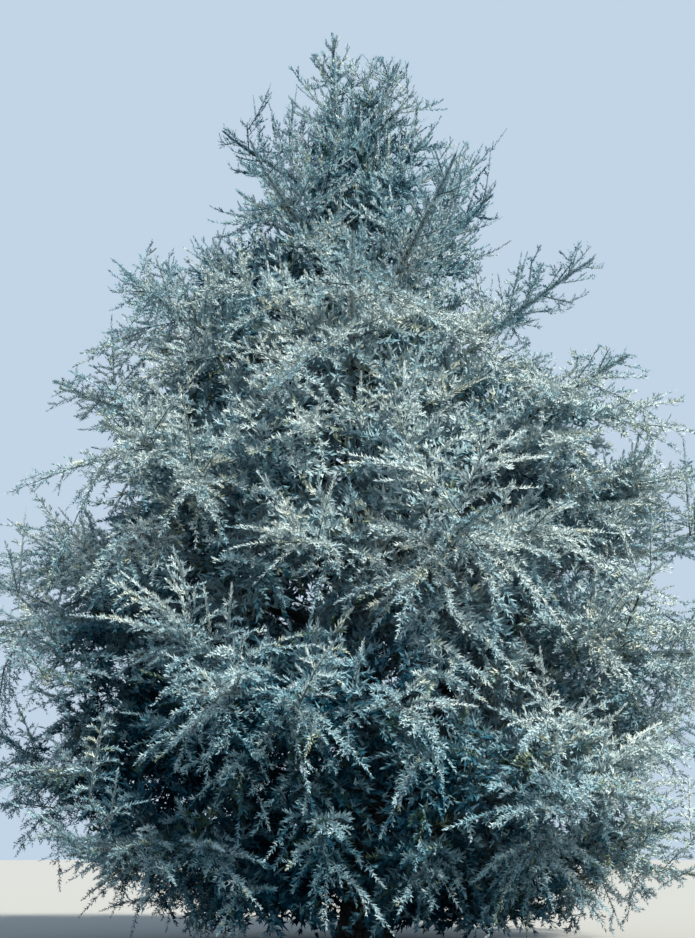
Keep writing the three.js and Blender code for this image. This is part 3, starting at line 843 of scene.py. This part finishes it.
# %% A piece from arrays
def add_piece(name, vertices, triangles, materials, tones=None, smooth=False):
    """One object at the origin. Tones say which of the materials each triangle has."""
    mesh = bpy.data.meshes.new(name)
    mesh.vertices.add(len(vertices))
    mesh.vertices.foreach_set("co", np.asarray(vertices, np.float32).ravel())
    mesh.loops.add(triangles.size)
    mesh.loops.foreach_set("vertex_index", np.asarray(triangles, np.int32).ravel())
    mesh.polygons.add(len(triangles))
    mesh.polygons.foreach_set("loop_start", np.arange(0, triangles.size, 3, dtype=np.int32))
    for material in materials:
        mesh.materials.append(material)
    if tones is not None:
        mesh.polygons.foreach_set("material_index", np.asarray(tones, np.int32))
    mesh.polygons.foreach_set("use_smooth", np.full(len(triangles), smooth))
    mesh.update(calc_edges=True)
    piece = bpy.data.objects.new(name, mesh)
    scene.collection.objects.link(piece)
    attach(piece, "root")
    print(name, "has", len(triangles), "triangles")
    return piece


def ring_corners(sides):
    """The corners of a ring, and the corner after each of them."""
    corner = np.arange(sides)
    return corner, (corner + 1) % sides


def walls(rings, sides):
    """Two triangles for each side between one ring and the next. Corners are numbered ring by ring."""
    corner, after = ring_corners(sides)
    low = np.arange(rings - 1)[:, None] * sides
    high = low + sides
    halves = [low + corner, high + corner, high + after], [low + corner, high + after, low + after]
    return np.concatenate([np.stack(half, axis=-1).reshape(-1, 3) for half in halves])


def tubes(branches, radii, sides):
    """Closed tubes along curves. Ring r of R stands square to its curve at the share r / R, with its corner s
    at the angle 2 pi s / sides, and the curve's end is the tip of the last cone. Radii are (branches, R) or
    (branches, R, sides). Returns vertices and triangles."""
    count, rings = radii.shape[:2]
    share = np.broadcast_to(np.arange(rings) / rings, (count, rings))
    curve, side = branches.curve[:, None], branches.side[:, None]
    centre = point_on(curve, share)
    _, across, third = frame_on(curve, side, share)
    angle = 2 * np.pi * np.arange(sides) / sides
    spoke = across[:, :, None] * column(np.cos(angle)) + third[:, :, None] * column(np.sin(angle))
    radii = radii if radii.ndim == 3 else radii[:, :, None]
    ring = centre[:, :, None] + spoke * column(np.broadcast_to(radii, (count, rings, sides)))
    tip = branches.curve[:, 3]
    vertices = np.concatenate([ring.reshape(count, -1, 3), tip[:, None]], axis=1)

    corner, after = ring_corners(sides)
    last = (rings - 1) * sides
    cone = np.stack([last + corner, np.full(sides, last + sides), last + after], axis=-1)
    foot = np.stack([np.zeros(sides - 2, int), corner[1:-1], corner[2:]], axis=-1)
    one = np.concatenate([walls(rings, sides), cone, foot])
    triangles = one + (np.arange(count) * vertices.shape[1])[:, None, None]
    return vertices.reshape(-1, 3), triangles.reshape(-1, 3)


# %% [markdown]
# ## Bark
#
# The bark of an old Atlas cedar is grey-brown and cracked into small upright plates with dark furrows
# between them. The plates could be drawn by a shader alone, but their edges then stay flat against the
# sky, so the trunk's surface is really pushed in along the furrows. The plates are the cells of a
# jittered grid that wraps round the stem: a point's furrow value is the difference between its distances
# to the two nearest cell middles, which is zero on the border between two plates.


# %% Plates and furrows
PLATE_JITTER = 0.38  # of a cell, by which the middle of a plate lies off the cell's own
PLATE_KEY = 1000  # added to a row's number, so that no key is below 0
FURROW_OVER = (0.03, 0.34)  # of a cell, from the bottom of a furrow to the top of the plate


def plate_height(around, upward, cells):
    """1 on a plate and 0 in a furrow: smoothstep of second-nearest less nearest distance to the jittered
    middles of a grid that is `cells` wide and closes on itself."""
    near = np.full(np.broadcast(around, upward).shape, np.inf)
    second = near.copy()
    for i in (-1, 0, 1):
        for j in (-1, 0, 1):
            across, row = np.floor(around) + i, np.floor(upward) + j
            name = (across % cells).astype(int)
            tall = row.astype(int) + PLATE_KEY
            middle_x = across + 0.5 + PLATE_JITTER * scatter(name, tall, DRAW.bark)
            middle_y = row + 0.5 + PLATE_JITTER * scatter(tall, name, DRAW.bark)
            distance = np.hypot(around - middle_x, upward - middle_y)
            second = np.minimum(second, np.maximum(near, distance))
            near = np.minimum(near, distance)
    return smoothstep(second - near, *FURROW_OVER)


# %% The bark's finish
# The plates' greys are darker than the bark in daylight: painted shade, for a trunk and limbs that stand in
# the crown's shade.
BARK_PLATE = "#3b3b3b"
BARK_WEATHERED = "#4a4a4a"
BARK_FURROW = "#1c1c1d"
BARK_GRAIN = 0.012  # metres between the fine cracks on a plate
CRACK_STRETCH = 0.3  # how wide a crack is for its height


def mixed_colours(tree, share, first, second):
    """The first colour where the share is 0, and the second where it is 1."""
    return add_node(tree, "ShaderNodeMix", {"data_type": "RGBA"}, {0: share, 6: first, 7: second}).outputs[2]


def bark_material(name):
    """Cedar bark, dry and weathered: hardly any shine, grey plates, near-black furrows and fine upright
    cracks. The plate attribute makes the furrows follow those of the mesh."""
    material, tree, shader = new_material(name, Roughness=0.92, Specular_IOR_Level=0.2)
    place = add_node(tree, "ShaderNodeTexCoord").outputs["Object"]
    stretched = add_node(tree, "ShaderNodeMapping", inputs={"Vector": place, "Scale": (1, 1, CRACK_STRETCH)})
    weather = add_node(tree, "ShaderNodeTexNoise", inputs={"Vector": place, "Scale": 2.2, "Detail": 6.0})
    fine = {"Vector": stretched.outputs[0], "Scale": CRACK_STRETCH / BARK_GRAIN, "Detail": 8.0}
    grain = add_node(tree, "ShaderNodeTexNoise", inputs=fine)
    plates = mixed_colours(tree, weather.outputs["Fac"], linear(BARK_PLATE), linear(BARK_WEATHERED))
    furrow = add_node(tree, "ShaderNodeAttribute", {"attribute_name": "plate"})
    height = add_node(
        tree, "ShaderNodeMath", {"operation": "MULTIPLY"}, {0: furrow.outputs["Fac"], 1: grain.outputs["Fac"]}
    )
    shade = add_node(tree, "ShaderNodeMapRange", inputs={"Value": height.outputs[0], 1: 0.05, 2: 0.55})
    colour = mixed_colours(tree, shade.outputs[0], linear(BARK_FURROW), plates)
    bump = add_node(
        tree, "ShaderNodeBump", inputs={"Height": height.outputs[0], "Strength": 0.7, "Distance": 0.012}
    )
    tree.links.new(colour, shader.inputs["Base Color"])
    tree.links.new(bump.outputs[0], shader.inputs["Normal"])
    return material


def set_attribute(piece, name, values):
    """One number for each vertex, which a shader can read by its name."""
    attribute = piece.data.attributes.new(name, "FLOAT", "POINT")
    attribute.data.foreach_set("value", np.asarray(values, np.float32).ravel())


# %% The trunk
TRUNK_TOP = 14.2
TRUNK_RADIUS = 0.33
TRUNK_TIP_RADIUS = 0.044
TRUNK_TAPER = 0.9
FLARE = 0.21
FLARE_HEIGHT = 0.43
FLARE_LOBES = 5
LOBE_DEPTH = 0.13
TRUNK_SIDES = 120
TRUNK_RINGS = 340
RING_CROWDING = 1.35
PLATES_AROUND = 24
PLATE_TALL = 0.17  # metres
FURROW_DEPTH = 0.016  # metres, where the radius is the one above


def trunk_radius(height, angle):
    """A taper by the 0.9th power of height, plus a flare with five lobes that fades as exp(-height/0.43)."""
    flare = np.exp(-height / FLARE_HEIGHT)
    taper = lerp(TRUNK_RADIUS, TRUNK_TIP_RADIUS, (height / TRUNK_TOP) ** TRUNK_TAPER)
    return (taper + FLARE * flare) * (1 + LOBE_DEPTH * flare * np.cos(FLARE_LOBES * angle))


def make_trunk():
    """Rings of the trunk's radius round its line, closer together near the ground, with the furrows pushed
    in, and a fan that closes each end."""
    height = TRUNK_TOP * column((np.arange(TRUNK_RINGS + 1) / TRUNK_RINGS) ** RING_CROWDING)
    angle = 2 * np.pi * np.arange(TRUNK_SIDES) / TRUNK_SIDES
    plate = plate_height(angle / (2 * np.pi) * PLATES_AROUND, height / PLATE_TALL, PLATES_AROUND)
    radius = trunk_radius(height, angle)
    relief = FURROW_DEPTH * radius / TRUNK_RADIUS * (plate - 1)
    spoke = np.stack([np.sin(angle), np.cos(angle), np.zeros(TRUNK_SIDES)], axis=-1)
    ring = trunk_axis(np.broadcast_to(height, radius.shape)) + spoke * column(radius + relief)
    ends = trunk_axis(np.array([0, TRUNK_TOP]))
    vertices = np.concatenate([ring.reshape(-1, 3), ends])

    corner, after = ring_corners(TRUNK_SIDES)
    bottom, top = len(vertices) - 2, len(vertices) - 1
    last = TRUNK_RINGS * TRUNK_SIDES
    foot = np.stack([corner, after, np.full(TRUNK_SIDES, bottom)], axis=-1)
    head = np.stack([last + after, last + corner, np.full(TRUNK_SIDES, top)], axis=-1)
    triangles = np.concatenate([walls(TRUNK_RINGS + 1, TRUNK_SIDES), foot, head])
    finish = [bark_material("weathered cedar bark")]
    piece = add_piece("trunk_bark", vertices, triangles, finish, smooth=True)
    set_attribute(piece, "plate", np.append(plate, [1, 1]))
    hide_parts("trunk")


make_trunk()

# %% The limbs' bark
LIMB_SIDES = 12
LIMB_RINGS = 64
LIMB_PLATES = 7
LIMB_PLATE_TALL = 0.11
LIMB_FURROW = 0.06  # of the limb's radius
LIMB_TAPER = 0.8
COLLAR = 0.35  # of its radius by which a limb is thicker at the trunk
COLLAR_LENGTH = 0.05  # of its length over which that fades
ROWS_APART = 40  # rows of plates between the limbs' patterns, so that no two are the same


def make_limb_bark():
    """All limbs as one mesh: the radius falls as the 0.8th power of the share, plus a collar that fades as an
    exponential, less the furrows."""
    share = np.arange(LIMB_RINGS) / LIMB_RINGS
    taper = lerp(column(limbs.radius), LIMB_TIP_RADIUS, share**LIMB_TAPER)
    radius = taper * (1 + COLLAR * np.exp(-share / COLLAR_LENGTH))
    around = np.arange(LIMB_SIDES) / LIMB_SIDES * LIMB_PLATES
    upward = column(column(limbs.length) * share / LIMB_PLATE_TALL)
    upward = upward + ROWS_APART * column(column(limbs.limb))
    plate = plate_height(around, upward, LIMB_PLATES)
    vertices, triangles = tubes(limbs, column(radius) * (1 + LIMB_FURROW * (plate - 1)), LIMB_SIDES)
    finish = [bark_material("young cedar bark")]
    piece = add_piece("limb_bark", vertices, triangles, finish, smooth=True)
    tip = np.ones((len(limbs.length), 1))
    set_attribute(piece, "plate", np.concatenate([plate.reshape(len(tip), -1), tip], axis=1))
    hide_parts(*[f"bough_{index + 1:02d}" for index in range(BOUGHS)])


make_limb_bark()

# %% [markdown]
# ## Needles
#
# The needles of this cedar are about 25 mm long and stand in rosettes all along each shoot. A real tree
# has millions. Here each needle stands for a pinch of them: one narrow triangle, larger than life, rooted
# on the bark and leaning forward. They turn round the shoot by the golden angle, so that a shoot is a
# soft brush from any side. Inside the crown, where little can be seen, they are fewer and larger, and on
# the thin tips that stand against the sky they are smaller.
#
# Their blue comes from a coat of wax. Each needle's colour also carries painted light and shade: it is
# paler on a needle's upper side, on the sunny side of the crown and on its outside, and darker, as painted
# shade, inside the crown, at its shaded foot and on the thin tips that stand against the sky. So every needle
# gets a score, and the score picks one of six plain colours, from painted deep shade to painted highlight.
# Here and there the wax is thin on a whole patch, and the green of the leaf shows.

# %% Needle finishes
# Tones from deep shade to palest wax are one waxy blue in painted shade and painted light; the shaded green,
# olive and cream are the same for greener sprays.
NEEDLE_TONES = {
    "needles deep shade": "#043346",
    "needles in shade": "#28586c",
    "needles blue green": "#5f8593",
    "needles blue": "#7d9ca8",
    "needles waxy blue in painted light": "#94abb2",
    "needles palest wax in painted highlight": "#a9b9bb",
    "needles shaded green": "#324e45",
    "needles olive": "#7f9080",
    "needles cream": "#adb8af",
}
WAX_SHEEN = "#dfeaf0"


def needle_material(name, colour):
    """Cedar needles: a matt leaf skin under wax. The wax scatters light at the edges, which sheen gives. A
    paler tone has more sheen and shine than a darker one, so that the needles in painted shade stay dark."""
    pale = linear(colour)[1]
    wax = {"Sheen_Weight": 0.2 * pale, "Sheen_Roughness": 0.5, "Sheen_Tint": linear(WAX_SHEEN)}
    skin = {"Base_Color": linear(colour), "Roughness": 0.62, "Specular_IOR_Level": 0.5 * pale}
    return new_material(name, **skin, **wax)[0]


needle_materials = [needle_material(name, colour) for name, colour in NEEDLE_TONES.items()]
# The twigs' bark is darker and bluer than in daylight: painted shade, as the twigs stand in the crown's
# blue-green shade.
twig_materials = [
    new_material("twig old bark", Base_Color=linear("#232e33"), Roughness=0.85)[0],
    new_material("twig young bark", Base_Color=linear("#415154"), Roughness=0.8)[0],
]
print("finishes:", len(needle_materials), "for needles and", len(twig_materials), "for twigs")

# %% Painted light and shade on the needles
SHELL = (1.6, 0.9)  # metres of the outside over which needles darken to painted shade, low down and in the steeple
SHELL_OVER = (9, 12)  # metres up
RIM_SHADE_OVER = (-0.5, 0.35)  # metres out of the body's surface, over which tips get painted shade
RIM_SHADE_AT_FOOT = 0.2  # of the painted shade that the other tips get; the low ones get no light from behind
FOOT_OVER = (3, 6)  # metres up on the left, where the painted shadow on the foot ends; it ends lower on the right
FOOT_LOWER = 4  # metres
HIGH_OVER = (8.5, 12.5)  # metres up, over which the tones grow a little deeper
PAINTED_LIGHT_SIDE = np.radians(22)  # to the right of the camera's view: the side of the crown painted lighter
PAINTED_LIGHTWARD = np.array([np.sin(PAINTED_LIGHT_SIDE), -np.cos(PAINTED_LIGHT_SIDE), 0])
LEAST_FACING, MIDDLE_FACING = -0.2, 0.7  # cosines: the far side's painted shade stops at the first, and the second gets none
PATCH = 1.9  # metres from one patch of like colour to the next
PATCH_AXES = ((0.7, 0.5, 0.2), (-0.6, 0.3, 0.8))
SCORE = SimpleNamespace(  # steps of tone for painted light and shade, young for painted shade on tips that stand out, and patches
    least=0.75, open_air=2.6, young=2.6, painted_sunward=0.8, foot=1.88, high=1.12, upper_side=0.9, patch=0.5,
    open_tip=1.2, tip_scatter=0.6,
)
OPEN_TIP = 0.2  # metres into the body up to which the painted shade goes no deeper than on an open tip
GREEN_SHARE = (0.03, 0.45)  # of the sprays, which have less wax, between the green patches and in them
GREEN_OVER = (0.5, 0.9)  # of the wave that makes the patches
GREEN_SHIFT = 5  # metres that sets the green patches apart from the pale ones
GREENS = np.array([0, 6, 6, 7, 8, 8])  # the tone of such a spray in place of tones 0 to 5


def patches(points):
    """A slow wave through space from -1 to 1: the product of two sines along two slanting axes."""
    x, y, z = (2 * np.pi * points / PATCH).T
    first, second = (np.sin(a * x + b * y + c * z) for a, b, c in PATCH_AXES)
    return first * second


def tones_of(root, out, upper, depth, key):
    """0 for painted deep shade to 5 for the palest wax in painted highlight, and 6 to 8 for greener sprays.
    The score is a sum of painted light and shade: more in the open air, on the needle's upper side, on the
    sunny side and above the shaded foot, less on the tips that stand out, as painted shade, and a little less
    high up, plus a slow wave and each spray's own draw."""
    height = root[:, 2]
    # Painted shade inside the crown: a needle's tone darkens with its depth under the outside.
    open_air = 1 - np.clip(depth / lerp(*SHELL, smoothstep(height, *SHELL_OVER)), 0, 1)
    # Painted shadow on the crown's foot, which reaches higher on the left.
    above_foot = smoothstep(height + FOOT_LOWER * np.clip(out[:, 0], 0, 1), *FOOT_OVER)
    # Painted shade on the tips that stand out against the sky, less at the foot.
    young = smoothstep(-depth, *RIM_SHADE_OVER) * lerp(RIM_SHADE_AT_FOOT, 1, above_foot)
    # Painted light on the needle's upper side.
    score = SCORE.least + SCORE.open_air * open_air - SCORE.young * young + SCORE.upper_side * upper
    # Painted sunlight on the crown's sunny side, and painted shade on its far side.
    facing = np.maximum(out @ PAINTED_LIGHTWARD, LEAST_FACING) - MIDDLE_FACING
    score = score + SCORE.painted_sunward * facing + SCORE.foot * above_foot
    score = score - SCORE.high * smoothstep(height, *HIGH_OVER) + SCORE.patch * patches(root)
    score = score + scatter(key, DRAW.tone)
    # The painted shade on open tips goes no deeper than this.
    open_tip = SCORE.open_tip * open_air * (depth < OPEN_TIP)
    score = np.maximum(score, open_tip + SCORE.tip_scatter * scatter(key, DRAW.tone, 2))
    # The tone is painted light and shade: 0 is painted deep shade and 5 painted highlight.
    tone = np.clip(np.round(score), 0, len(GREENS) - 1).astype(int)
    green_share = lerp(*GREEN_SHARE, smoothstep(patches(root[:, ::-1] + GREEN_SHIFT), *GREEN_OVER))
    return np.where(draw(key, DRAW.tone, 1) < green_share, GREENS[tone], tone)


# %% Needles along stems
NEEDLES_PER_METRE = (71, 25)  # on the crown's outside and deep inside it, as the two sizes below
NEEDLE_LENGTH = (0.064, 0.165)
NEEDLE_WIDTH = (0.024, 0.06)
NEEDLE_DEPTHS = (0.5, 2.0)  # metres into the body, between which the needles change
THICK_STEM = 0.015  # metres of radius above an arm's that double the number of needles
CLOTHED = 0.98  # the share of the clothed part that the last needle's foot reaches
STEM_TAPER = 0.75  # of a stem's radius, lost on the way to its tip
NEEDLE_LEAN = (58, 20)  # degrees off the stem, at its foot and at its tip
LEAN_SCATTER = 12
SIZE_SCATTER = 0.2
TIP_NEEDLES = 0.55  # of the full length, at the tip of a shoot
YOUNG_NEEDLES = 0.72  # of the full size, where branches stand out of the crown
SMALL_OVER = (0, 0.8)  # metres out of the body's surface
NEEDLE_LIFT = 0.28  # how much needles turn up to the light
FACING_OUT, FACING_UP = 0.65, 0.75
FACING_SCATTER = 55  # degrees


def needles_on(stems):
    """Triangles (needles, 3 corners, 3) and their tones. Needle k of n sits at the share (k + 0.5) / n of
    the clothed part, turned by the golden angle times k, and leans from the wide to the narrow angle. Its
    flat side faces the light, outward and up, give or take a drawn angle."""
    clothed = 1 - stems.bare
    thick = 1 + np.clip(stems.radius - ARM_RULE.radii[1], 0, None) / THICK_STEM
    count = np.ceil(stems.length * clothed * thick * NEEDLES_PER_METRE[0]).astype(int)
    stem, k = numbered(count)
    share = stems.bare[stem] + CLOTHED * clothed[stem] * (k + 0.5) / count[stem]
    root = point_on(stems.curve[stem], share)
    depth = depth_in_body(root)
    inside = smoothstep(depth, *NEEDLE_DEPTHS)
    few = NEEDLES_PER_METRE[1] / NEEDLES_PER_METRE[0]
    kept = (draw(stems.key[stem], k, DRAW.gap) < lerp(1, few, inside)) & (depth < BARE_DEPTH)
    found = stem, k, share, root, depth, inside
    stem, k, share, root, depth, inside = (values[kept] for values in found)

    key = stems.key[stem]
    along, across, third = frame_on(stems.curve[stem], stems.side[stem], share)
    turn = GOLDEN_ANGLE * k + 360 * draw(key, DRAW.roll)
    lean = lerp(*NEEDLE_LEAN, share) + LEAN_SCATTER * scatter(key, k, DRAW.needle)
    way = unit(heading_off(along, across, third, lean, turn) + NEEDLE_LIFT * UP)
    radius = stems.radius[stem] * (1 - STEM_TAPER * share)
    root = root + heading_off(along, across, third, 90, turn) * column(radius)
    out = unit((root - trunk_axis(root[:, 2])) * [1, 1, 0] + 1e-6)
    light = unit(FACING_OUT * out + FACING_UP * UP)
    flat = unit(np.cross(way, light))
    askew = column(np.radians(FACING_SCATTER * scatter(key, k, DRAW.roll)))
    flat = flat * np.cos(askew) + np.cross(way, flat) * np.sin(askew)
    smaller = lerp(1, YOUNG_NEEDLES, smoothstep(-depth, *SMALL_OVER))
    shorter = smaller * lerp(1, TIP_NEEDLES, share**3) * (1 + SIZE_SCATTER * scatter(key, k, DRAW.length))
    length = column(lerp(*NEEDLE_LENGTH, inside) * shorter)
    half = flat * column(lerp(*NEEDLE_WIDTH, inside) * smaller) / 2
    tones = tones_of(root, out, np.sum(way * light, axis=-1), depth, key)
    return np.stack([root - half, root + half, root + way * length], axis=1), tones


# %% [markdown]
# ## The crown in tiers
#
# The crown is joined into a few pieces from the ground to the top, each small enough to handle, with
# needles and twigs apart. A tier stands for the masses of foliage of its limbs in the plain model. The
# wood of shoots and of twigs deep inside is left out, because needles hide it on all sides.

# %% Tiers of needles and twigs
TIERS = 8
CORE_DEPTH = 1.2  # metres into the crown past which the needles hide the twigs' wood
CONE_SHARE = 0.45  # of a branch's radius, where its last cone starts


load = np.cumsum(np.bincount(stems.limb, stems.length, minlength=LIMBS + 1))
tier_of_limb = np.minimum(load / load[-1] * TIERS, TIERS - 1).astype(int)
is_outer = depth_in_body(twigs.curve[:, 3]) < CORE_DEPTH
wood_kinds = (  # branches, rings, sides and finish
    (boughs, 8, 6, 0),
    (arms, 2, 3, 1),
    (only(twigs, is_outer), 1, 3, 1),
)


def straight_radii(branches, rings):
    """Radii that fall evenly from the root's to the share of it that the last cone starts with."""
    return column(branches.radius) * lerp(1, CONE_SHARE, np.arange(rings) / rings)


def node_of(limb):
    """The plain model's name for the foliage of a limb."""
    return "leader_foliage" if limb == LIMBS else f"foliage_{limb + 1:02d}"


def make_tier(tier):
    """One piece of needles, which replaces the tier's masses, and one of the wood that carries them."""
    nodes = [node_of(limb) for limb in np.flatnonzero(tier_of_limb == tier)]
    corners, tones = needles_on(only(stems, tier_of_limb[stems.limb] == tier))
    triangles = np.arange(corners.shape[0] * 3).reshape(-1, 3)
    name = f"needles_tier_{tier + 1}"
    needles = add_piece(name, corners.reshape(-1, 3), triangles, needle_materials, tones)
    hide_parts(*nodes)

    groups = []
    for branches, rings, sides, tone in wood_kinds:
        part = only(branches, tier_of_limb[branches.limb] == tier)
        groups.append((*tubes(part, straight_radii(part, rings), sides), tone))
    starts = np.cumsum([0] + [len(v) for v, _, _ in groups])
    vertices = np.concatenate([v for v, _, _ in groups])
    triangles = np.concatenate([t + start for (_, t, _), start in zip(groups, starts)])
    tones = np.concatenate([np.full(len(t), tone) for _, t, tone in groups])
    wood = add_piece(f"twigs_tier_{tier + 1}", vertices, triangles, twig_materials, tones)


for tier in range(TIERS):
    make_tier(tier)

# %% The floor
FLOOR_RADIUS = 120.0  # metres, so that its edge is next to the horizon
FLOOR_SIDES = 96
FLOOR_COLOUR = "#919391"

rim = FLOOR_RADIUS * outward_at(2 * np.pi * np.arange(FLOOR_SIDES) / FLOOR_SIDES)
floor_mesh = bpy.data.meshes.new("floor")
floor_mesh.from_pydata(rim.tolist(), [], [list(range(FLOOR_SIDES))])
floor_material, _, _ = new_material("pale matt floor", Base_Color=linear(FLOOR_COLOUR), Roughness=0.9)
floor_mesh.materials.append(floor_material)
floor = bpy.data.objects.new("floor", floor_mesh)
scene.collection.objects.link(floor)
print("floor with a radius of", FLOOR_RADIUS, "m")

# %% [markdown]
